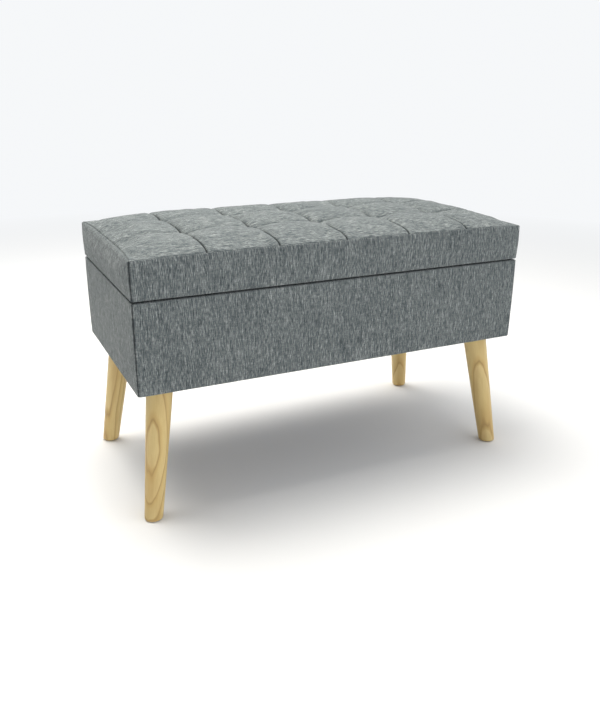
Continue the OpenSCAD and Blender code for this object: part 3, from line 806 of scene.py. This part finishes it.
def lid_profile(p):
    """Rings (offset, height, corner radius) of the lid's side up to its seam, and the
    painted shade of their points."""
    z_low = LID_LOW.z
    z_seam = seam_height(p.fx * p.half_w, p.fy * p.half_d, p.half_w, p.half_d)
    board_in = BOARD_HIGH.x - LID_HIGH.x
    rings = [
        (board_in, BOARD_HIGH.z, 0.002),
        (board_in, BOARD_LOW.z, 0.002),
        (-FOLD_IN, BOARD_LOW.z, 0.002),
        (-FOLD_IN, z_low + 0.0003, 0.002),
        (-FOLD_IN + 0.0006, z_low, 0.002),
        (-FOLD_IN / 2, z_low, 0.003),
    ]
    painted_shades = [p.fx * 0] * len(rings)
    edge_r = 0.0022
    inset = seam_inset(p.fx, p.fy)
    shoulder_r = 0.0045 + 1.4 * (inset - SIDE_INSET)  # the ends are rounder than the sides
    lean = np.arccos(1 - inset / shoulder_r)
    z_shoulder = z_seam - shoulder_r * np.sin(lean)
    side_h = z_shoulder - (z_low + edge_r)

    bulge = (0.0012 + 0.0040 * p.endness) * (1 - 0.85 * bell(p.from_corner, 0.035))
    pucker = p.wobble(0.0085, 21)
    ripple = p.wobble(0.04, 23)

    side_steps, shoulder_steps = 26, 8
    for t, c, s in quarter(6, first=1):
        offset = -edge_r * (1 - s) - TUCK
        rings.append((offset - p.groove * t, z_low + edge_r * c, CORNER_R))
        painted_shades.append(p.corner_painted_shade * t)
    for step in range(1, side_steps + 1):
        t = step / side_steps
        swell = bulge * math.sin(math.pi * t**1.4) + 0.0005 * ripple * math.sin(math.pi * t)
        offset = swell - TUCK * (1 - t) ** 3 + PUCKER * pucker * t**4
        rings.append((offset - p.groove, z_low + edge_r + side_h * t, CORNER_R))
        painted_shades.append(p.corner_painted_shade)
    for step in range(1, shoulder_steps + 1):
        turn = lean * step / shoulder_steps
        left = 1 - step / shoulder_steps
        offset = -shoulder_r * (1 - np.cos(turn)) + PUCKER * pucker * (1 - step / 10)
        z = z_shoulder + shoulder_r * np.sin(turn) - SEAM_PINCH * math.exp(-left * 6)
        rings.append((offset - p.groove * left, z, CORNER_R))
        # painted shade in the upright corner seams and the top seam
        painted_shades.append(np.maximum(p.corner_painted_shade, SEAM_SHADE * math.exp(-left * 8)))
    return rings[:-1], painted_shades[:-1]  # the last ring is the top panel's own edge


def make_lid_cushion():
    """The upholstered lid: cover, wadding and foam as one closed form round the board."""
    top, top_painted_shade, fx, fy = tufted_top()
    nx, ny = fx.shape
    order = boundary_order(nx, ny)
    count = len(order)
    p = Perimeter(
        fx[order[:, 0], order[:, 1]], fy[order[:, 0], order[:, 1]], LID_HIGH.x, LID_HIGH.y
    )
    rings, painted_shades = lid_profile(p)
    lofted = [p.ring(*ring) for ring in rings]
    points = np.concatenate(lofted + [top.reshape(-1, 3)])

    faces = [tuple(range(count))]
    for k in range(len(lofted) - 1):
        faces += loop_faces(k * count, (k + 1) * count, count)
    start = len(lofted) * count
    rim = start + order[:, 0] * ny + order[:, 1]
    last = start - count
    for i in range(count):
        j = (i + 1) % count
        faces.append((last + i, last + j, int(rim[j]), int(rim[i])))
    top_faces_from = len(faces)
    for i in range(nx - 1):
        for j in range(ny - 1):
            a = start + i * ny + j
            faces.append((a, a + ny, a + ny + 1, a + 1))
    cushion = make_piece(
        "lid_cushion", points, faces, "lid", LINEN["X"],
        ("lid_cover", "lid_wadding", "lid_foam"),
    )
    outward(cushion)
    mark_seams(cushion, np.concatenate(painted_shades + [top_painted_shade.reshape(-1)]))

    def is_cross_rim(face):
        return face.normal.z < -LYING and abs(face.center.y) > LID_HIGH.y - FOLD_IN

    def is_top_panel(face):
        return face.index >= top_faces_from and face.center.z > LID_HIGH.z - TOP_CLOTH_DROP

    lay_weave(cushion, is_cross_rim, is_top_panel)
    sharpen(cushion, 70)
    return cushion


# ---- Box upholstery

BOX_LOW, BOX_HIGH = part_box("box_cover")
PANEL_LOW, PANEL_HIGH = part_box("front_panel")
CAVITY_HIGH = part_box("floor_lining")[1]
HEM_DROP = 0.020  # how far the cover is turned down inside the walls


def make_box_upholstery():
    """Cover and wadding of the box: one closed sleeve, folded over the walls' edges."""
    fine_x = side_places(160, BOX_HIGH.x)
    fine_y = side_places(80, BOX_HIGH.y)
    order = boundary_order(len(fine_x), len(fine_y))
    p = Perimeter(fine_x[order[:, 0]], fine_y[order[:, 1]], BOX_HIGH.x, BOX_HIGH.y)
    wall_out = PANEL_HIGH.x - BOX_HIGH.x
    wall_in = CAVITY_HIGH.x - BOX_HIGH.x
    cloth = BOX_HIGH.z - PANEL_HIGH.z
    swell = (0.0011 + 0.0006 * p.endness) * (1 - 0.8 * bell(p.from_corner, 0.03))
    ripple = p.wobble(0.06, 31)
    pucker = p.wobble(0.011, 33)

    hem_z = BOX_HIGH.z - HEM_DROP
    inner = wall_in - cloth
    rings = [(wall_in, hem_z, 0.001), (inner, hem_z, 0.002), (inner, hem_z + 0.001, 0.002)]
    edge_in = 0.0022
    for _, c, s in quarter(5):
        rings.append((inner + edge_in * c, BOX_HIGH.z - edge_in * (1 - s), 0.003))
    edge_top = 0.0024
    for t, c, s in quarter(7):
        offset = -edge_top * (1 - s) - TUCK - p.groove * t
        rings.append((offset, BOX_HIGH.z - edge_top * c, CORNER_R))
    count = 30
    edge_low = 0.0028
    top_z, low_z = BOX_HIGH.z - edge_top, BOX_LOW.z + edge_low
    for step in range(1, count):
        t = step / count
        offset = (
            swell * math.sin(math.pi * t) ** 0.7
            + 0.0004 * ripple * math.sin(math.pi * t)
            + 0.00018 * pucker * (1 - t) ** 6
            - TUCK * (1 - t) ** 4
        )
        rings.append((offset - p.groove, top_z + (low_z - top_z) * t, CORNER_R))
    for t, c, s in quarter(8):
        rings.append((-edge_low * c - p.groove * (1 - t), low_z - edge_low * s, CORNER_R))
    rings += [
        (wall_in + 0.001, BOX_LOW.z, 0.002),
        (wall_in, BOX_LOW.z + 0.0003, 0.001),
        (wall_in, PANEL_LOW.z, 0.001),
        (wall_out, PANEL_LOW.z, 0.004),
        (wall_out, PANEL_HIGH.z, 0.004),
        (wall_in, PANEL_HIGH.z, 0.001),
    ]
    replaced = ("box_cover", "box_wadding")
    cover = make_sleeve("box_upholstery", p, rings, LINEN["Z"], replaced)
    outside_from = -edge_low - 0.0031
    # painted shade in the upright corner seams, on the outside only
    painted_shades = [p.corner_painted_shade * (np.min(offset) > outside_from) for offset, _, _ in rings]
    mark_seams(cover, np.concatenate(painted_shades))
    lay_weave(
        cover,
        is_cross_rim=lambda face: abs(face.center.y) > BOX_HIGH.y + wall_in,
        is_top_panel=lambda face: False,
    )
    sharpen(cover, 60)
    return cover


def side_places(count, half):
    """Positions from -1 to 1 along a side, closer near its ends and close at the corners."""
    t = np.linspace(-1, 1, count + 1)
    values = np.sin(t * math.pi / 2) * 0.35 + t * 0.65
    near = 1 - np.array([0.0007, 0.0015, 0.0024, 0.0034, 0.0046, 0.006, 0.0076]) / half
    kept = values[np.abs(values) < near.min() - 0.003 / half]
    return np.concatenate([[-1], -near, kept, near[::-1], [1]])


# ---- Linings and the dust cover


def thin_sheet(low, high, step, relief, holes=()):
    """Points and faces of a closed thin sheet between two corners, with round holes.

    relief gives how far the sheet's two faces move in z at arrays of x and y."""
    nx = int(round((high.x - low.x) / step)) + 1
    ny = int(round((high.y - low.y) / step)) + 1
    gx, gy = np.meshgrid(
        np.linspace(low.x, high.x, nx), np.linspace(low.y, high.y, ny), indexing="ij"
    )
    cell_x = (gx[:-1, :-1] + gx[1:, 1:]) / 2
    cell_y = (gy[:-1, :-1] + gy[1:, 1:]) / 2
    kept = np.ones(cell_x.shape, bool)
    for cx, cy, radius in holes:
        kept &= np.hypot(cell_x - cx, cell_y - cy) > radius
        from_middle = np.hypot(gx - cx, gy - cy)
        near = (np.abs(from_middle - radius) < step * 0.75) & (from_middle > 0)
        scale = np.where(near, radius / np.maximum(from_middle, 1e-6), 1.0)
        gx, gy = cx + (gx - cx) * scale, cy + (gy - cy) * scale
    lift = relief(gx, gy)
    count = nx * ny
    lower = np.stack([gx, gy, low.z + lift], axis=-1).reshape(-1, 3)
    upper = np.stack([gx, gy, high.z + lift], axis=-1).reshape(-1, 3)
    faces, rim = [], {}
    for i, j in np.argwhere(kept):
        a = int(i * ny + j)
        quad = (a, a + ny, a + ny + 1, a + 1)
        faces.append(quad[::-1])
        faces.append(tuple(k + count for k in quad))
        for m, n in zip(quad, quad[1:] + quad[:1]):
            if (n, m) in rim:
                del rim[(n, m)]
            else:
                rim[(m, n)] = True
    faces += [(m, n, n + count, m + count) for m, n in rim]
    return np.concatenate([lower, upper]), faces


def drop_loose(obj):
    """Deletes the points that no face uses."""
    bm = bmesh.new()
    bm.from_mesh(obj.data)
    bmesh.ops.delete(bm, geom=[v for v in bm.verts if not v.link_faces], context="VERTS")
    bm.to_mesh(obj.data)
    bm.free()


def lining_sheet(name, node, body, thick, relief, holes=(), raised=0.0):
    """A thin sheet that stands for a CAD lining and lies on its lower face."""
    low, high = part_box(node)
    under = Vector((low.x, low.y, low.z + raised))
    over = Vector((high.x, high.y, low.z + raised + thick))
    points, faces = thin_sheet(under, over, 0.008, relief, holes)
    made = make_piece(name, points, faces, body, LINING, (node,))
    drop_loose(made)
    return outward(made)


def staples(name, places, z, reach, body):
    """Wire staples that lie flat on a lining at (x, y, along x) places."""
    wire, depth = 0.0006, 0.0008
    points, faces = [], []
    for x, y, along_x in places:
        half = (reach / 2, wire / 2) if along_x else (wire / 2, reach / 2)
        start = len(points)
        for dz, shrink in ((0.0002, 1.0), (-depth * 0.6, 1.0), (-depth, 0.86)):
            for sx, sy in ((-1, -1), (1, -1), (1, 1), (-1, 1)):
                points.append((x + sx * half[0] * shrink, y + sy * half[1] * shrink, z + dz))
        faces += loop_faces(start, start + 4, 4) + loop_faces(start + 4, start + 8, 4)
        faces += [
            (start + 3, start + 2, start + 1, start),
            (start + 8, start + 9, start + 10, start + 11),
        ]
    made = make_piece(
        name, points, faces, body, SLOT_MATERIALS["screw_steel"], smooth=False
    )
    return outward(made)


def rim_places(half_w, half_d, pitch, skip=()):
    """Staple places round a rectangle, apart from those near the points to skip."""
    places = []
    for half, other, along_x in ((half_w, half_d, True), (half_d, half_w, False)):
        count = int(2 * half / pitch)
        for k in range(count):
            t = (k + 0.5 - count / 2) * pitch
            for side in (-1, 1):
                x, y = (t, side * other) if along_x else (side * other, t)
                if all(math.hypot(x - a, y - b) > r for a, b, r in skip):
                    places.append((x, y, along_x))
    return places


def hem_relief(low, high, hem, fold, wave, size, seed):
    """Relief of a sheet with a folded hem, which waves a little between its edges."""

    def relief(x, y):
        edge = np.minimum(
            np.minimum(x - low.x, high.x - x), np.minimum(y - low.y, high.y - y)
        )
        step = smoothstep((edge - hem) / 0.002)
        calm = smoothstep(edge / 0.03)
        return fold * step + wave * calm * wobble(x, y, x * 0, size, seed)

    return relief


def make_dust_cover():
    """Black cloth under the box, stapled round its hem, with a hole for each leg."""
    low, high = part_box("dust_cover")
    holes, room = [], 0.003
    for sx in (-1, 1):
        for sy in (-1, 1):
            top = leg_axis(sx, sy)[1]
            holes.append((top.x, top.y, LEG_TOP_R + room))
    raised = 0.0002
    relief = hem_relief(low, high, 0.012, 0.0003, 0.0008, 0.11, 41)
    cover = lining_sheet("dust_cloth", "dust_cover", "base", 0.0006, relief, holes, raised)
    skip = [(x, y, r + 0.006) for x, y, r in holes]
    places = rim_places(high.x - 0.006, high.y - 0.006, 0.052, skip)
    fixed = staples("dust_staples", places, low.z + raised, 0.01, "base")


def make_lid_lining():
    """Black cloth under the lid's board, inside the cover's turn-in."""
    low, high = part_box("lid_lining")
    relief = hem_relief(low, high, 0.01, 0.0002, 0.0002, 0.07, 43)
    lining = lining_sheet("lid_underlining", "lid_lining", "lid", 0.0006, relief)
    places = rim_places(high.x - 0.006, high.y - 0.006, 0.048)
    fixed = staples("lid_staples", places, low.z, 0.01, "lid")


def make_floor_lining():
    """Black cloth that lies on the bottom of the box and ripples a little."""
    low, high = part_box("floor_lining")

    def relief(x, y):
        edge = np.minimum(high.x - np.abs(x), high.y - np.abs(y))
        soft = wobble(x, y, x * 0, 0.09, 45) + 0.5 * wobble(x, y, x * 0, 0.035, 47)
        return 0.0006 * smoothstep(edge / 0.02) * np.maximum(soft, -0.4)

    cloth = lining_sheet("floor_cloth", "floor_lining", "base", 0.0008, relief)


def make_wall_lining():
    """Black cloth round the inside of the four walls, as one closed sleeve with round corners.
    """
    low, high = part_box("wall_lining")
    grid_x = np.linspace(-1, 1, 97)
    grid_y = np.linspace(-1, 1, 49)
    order = boundary_order(len(grid_x), len(grid_y))
    p = Perimeter(grid_x[order[:, 0]], grid_y[order[:, 1]], high.x, high.y)
    thick = 0.0009
    rows = 15
    rings = []
    for row in range(rows):
        t = row / (rows - 1)
        z = low.z + (high.z - low.z) * t
        calm = math.sin(math.pi * t)
        wave = 0.0004 * calm * (wobble(p.along, p.endness * 3, p.fx * 0 + t, 0.08, 51) - 0.6)
        rings.append((np.minimum(wave, 0.0) - thick, z, 0.002))
    for row in reversed(range(rows)):
        rings.append((0.0, low.z + (high.z - low.z) * row / (rows - 1), 0.0012))
    lining = make_sleeve("wall_cloth", p, rings, LINING, ("wall_lining",))
    sharpen(lining, 50)


# ---- Legs

LEG_SEGMENTS = 72
FOOT_ROUND = 0.0030  # rounding of the foot's rim
LEG_FOOT_R = 0.0170
LEG_TOP_R = 0.0243
LEG_INSET = 0.052  # middle of a leg's top, inside the outer faces of the box
PAD_R = 0.012


def leg_axis(sx, sy):
    """The middle of a leg's foot and of its top, where it meets the box."""
    pads_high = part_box("foot_pads")[1]
    foot = Vector((sx * (pads_high.x - PAD_R), sy * (pads_high.y - PAD_R), 0.0))
    top = Vector((sx * (BOX_HIGH.x - LEG_INSET), sy * (BOX_HIGH.y - LEG_INSET), BOX_LOW.z))
    return foot, top


def make_leg(name, sx, sy, wood):
    """A turned, tapered leg, cut level at the foot, with a softened rim."""
    foot, top = leg_axis(sx, sy)
    axis = (top - foot).normalized()
    length = (top - foot).length
    slope = (LEG_TOP_R - LEG_FOOT_R) / length
    low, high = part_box(name)
    end = (high.z - foot.z) / axis.z * 0.985  # just under the leg's plate
    side = axis.cross(Vector((0, 0, 1))).normalized()
    up = side.cross(axis).normalized()
    points, rows = [], []

    def ring(distance, radius, clamp):
        rows.append(len(points))
        for k in range(LEG_SEGMENTS):
            angle = 2 * math.pi * k / LEG_SEGMENTS
            p = foot + axis * distance + (side * math.cos(angle) + up * math.sin(angle)) * radius
            if clamp is not None:  # slide the point along the leg, down to a level rim
                p -= axis * ((p.z - clamp) / axis.z)
            points.append(p)

    ring(0, LEG_FOOT_R - FOOT_ROUND, low.z)
    shaft_steps = 41
    for _, c, s in quarter(6, first=1):
        ring(0, LEG_FOOT_R - FOOT_ROUND * (1 - s), low.z + FOOT_ROUND * c)
    shaft_from, top_round = 0.012, 0.001
    for step in range(1, shaft_steps):
        distance = shaft_from + (end - shaft_from) * step / shaft_steps
        ring(distance, LEG_FOOT_R + slope * distance, None)
    ring(end - top_round, LEG_FOOT_R + slope * end, None)
    ring(end, LEG_FOOT_R + slope * end - top_round, None)
    faces = [tuple(range(rows[0], rows[0] + LEG_SEGMENTS))[::-1]]
    for a, b in zip(rows[:-1], rows[1:]):
        faces += loop_faces(a, b, LEG_SEGMENTS)
    faces.append(tuple(range(rows[-1], rows[-1] + LEG_SEGMENTS)))
    leg = make_piece("pine_" + name, points, faces, "base", wood, (name,))
    outward(leg)
    sharpen(leg, 50)
    return leg


def make_legs():
    """Four legs, each from another board: side, side, turn, pith, lean and belly for pine."""
    boards = {
        "leg_front_left": (-1, -1, 0.05, 30, 0.01, -14),
        "leg_front_right": (1, -1, -1.25, 34, -0.10, 0),
        "leg_back_left": (-1, 1, 1.2, 60, 0.01, 3),
        "leg_back_right": (1, 1, -2.8, 26, -0.08, 5),
    }
    for seed, (name, board) in enumerate(boards.items(), start=1):
        sx, sy, turn, pith, lean, belly = board
        foot, top = leg_axis(sx, sy)
        wood = pine("pine_" + name, foot, top, turn, pith, lean, belly, seed)
        make_leg(name, sx, sy, wood)


# ---- Carried-over CAD nodes


def dress_cad_nodes():
    """Every CAD node whose slot has a material here wears it."""
    for part in frame["record"]["subparts"]:
        obj = NODES[part["node"]]
        material = SLOT_MATERIALS.get(part["material_slot"])
        if material is None:
            continue
        obj.data.materials.clear()
        obj.data.materials.append(material)


# ---- Stage

CAMERA_AT = (-0.6536, -1.3541, 0.7492)
CAMERA_YAW = 0.4505  # turned from +Y towards +X
CAMERA_PITCH = 0.3562  # tipped down
CAMERA_ROLL = 0.0060
CAMERA_LENS = 36.89  # millimetres, as is the sensor's long side
SENSOR = 36


def make_camera():
    data = bpy.data.cameras.new("camera")
    data.lens = CAMERA_LENS
    data.sensor_width = SENSOR
    data.clip_start, data.clip_end = 0.05, 100
    camera = add_object("camera", data)
    camera.location = CAMERA_AT
    level = math.cos(CAMERA_PITCH)
    x, y = math.sin(CAMERA_YAW) * level, math.cos(CAMERA_YAW) * level
    aim = Vector((x, y, -math.sin(CAMERA_PITCH))).to_track_quat("-Z", "Y")
    camera.rotation_euler = aim.to_euler()
    camera.rotation_euler.rotate_axis("Z", CAMERA_ROLL)
    SCENE.camera = camera


ROOM_WHITE = (0.97, 0.985, 1.0)
FLOOR_WHITE = (0.9, 0.9, 0.9)
BACKDROP = 0.95  # brightness of the far floor and of the room behind it


def make_floor():
    """A wide pale floor that turns into an even light backdrop away from the bench."""
    reach = 40.0
    corners = [(-reach, -reach, 0), (reach, -reach, 0), (reach, reach, 0), (-reach, reach, 0)]
    mesh = bpy.data.meshes.new("floor")
    mesh.from_pydata(corners, [], [(0, 1, 2, 3)])
    g = Graph("floor_paint", Roughness=0.95, Specular_IOR_Level=0.0)
    x, y, _ = g.place()
    distance = g.math("SQRT", g.add(g.times(x, x), g.times(y, y)))
    far = g.stretch(distance, 1300, 3400)
    g.colour(g.mix(far, FLOOR_WHITE, (0, 0, 0)))
    g.shader.inputs["Emission Color"].default_value = (*ROOM_WHITE, 1)
    g.put(g.shader.inputs["Emission Strength"], g.times(far, BACKDROP))
    mesh.materials.append(g.material)
    add_object("floor", mesh)


def add_light(name, place, target, size, power, tint):
    """A rectangular area light aimed at a target."""
    data = bpy.data.lights.new(name, "AREA")
    data.shape = "RECTANGLE"
    data.size, data.size_y = size
    data.energy = power
    data.color = tint
    light = add_object(name, data)
    light.location = place
    aim = Vector(target) - Vector(place)
    light.rotation_euler = aim.to_track_quat("-Z", "Y").to_euler()


def light_stage():
    """A bright room that is dimmer on the left, a large softbox above and a weak front fill."""
    world = bpy.data.worlds.new("studio")
    world.use_nodes = True
    tree = world.node_tree
    sky = tree.nodes["Background"]
    sky.inputs["Color"].default_value = (*ROOM_WHITE, 1)
    direction = tree.nodes.new("ShaderNodeTexCoord")
    split = tree.nodes.new("ShaderNodeSeparateXYZ")
    dimmer = tree.nodes.new("ShaderNodeMapRange")
    dimmer.inputs["From Min"].default_value = -1.0
    dimmer.inputs["To Min"].default_value = 0.08
    dimmer.inputs["To Max"].default_value = 1.14
    tree.links.new(direction.outputs["Generated"], split.inputs[0])
    tree.links.new(split.outputs["X"], dimmer.inputs["Value"])
    seen = tree.nodes.new("ShaderNodeLightPath")
    backdrop = tree.nodes.new("ShaderNodeMix")  # the room that is seen is even
    backdrop.inputs[3].default_value = BACKDROP
    tree.links.new(seen.outputs["Is Camera Ray"], backdrop.inputs[0])
    tree.links.new(dimmer.outputs[0], backdrop.inputs[2])
    tree.links.new(backdrop.outputs[0], sky.inputs["Strength"])
    SCENE.world = world
    middle = (0, 0, 0.35)
    add_light("top_softbox", (-0.45, 0.55, 2.7), middle, (1.8, 1.8), 86, (1, 0.972, 0.91))
    add_light("front_fill", (1.4, -2.8, 1.2), middle, (2.0, 1.6), 6.5, (0.96, 0.98, 1))
    SCENE.view_settings.view_transform = "Standard"


# ---- The whole bench


make_camera()
make_floor()
light_stage()
dress_cad_nodes()
make_lid_cushion()
make_box_upholstery()
make_wall_lining()
make_floor_lining()
make_lid_lining()
make_dust_cover()
make_legs()
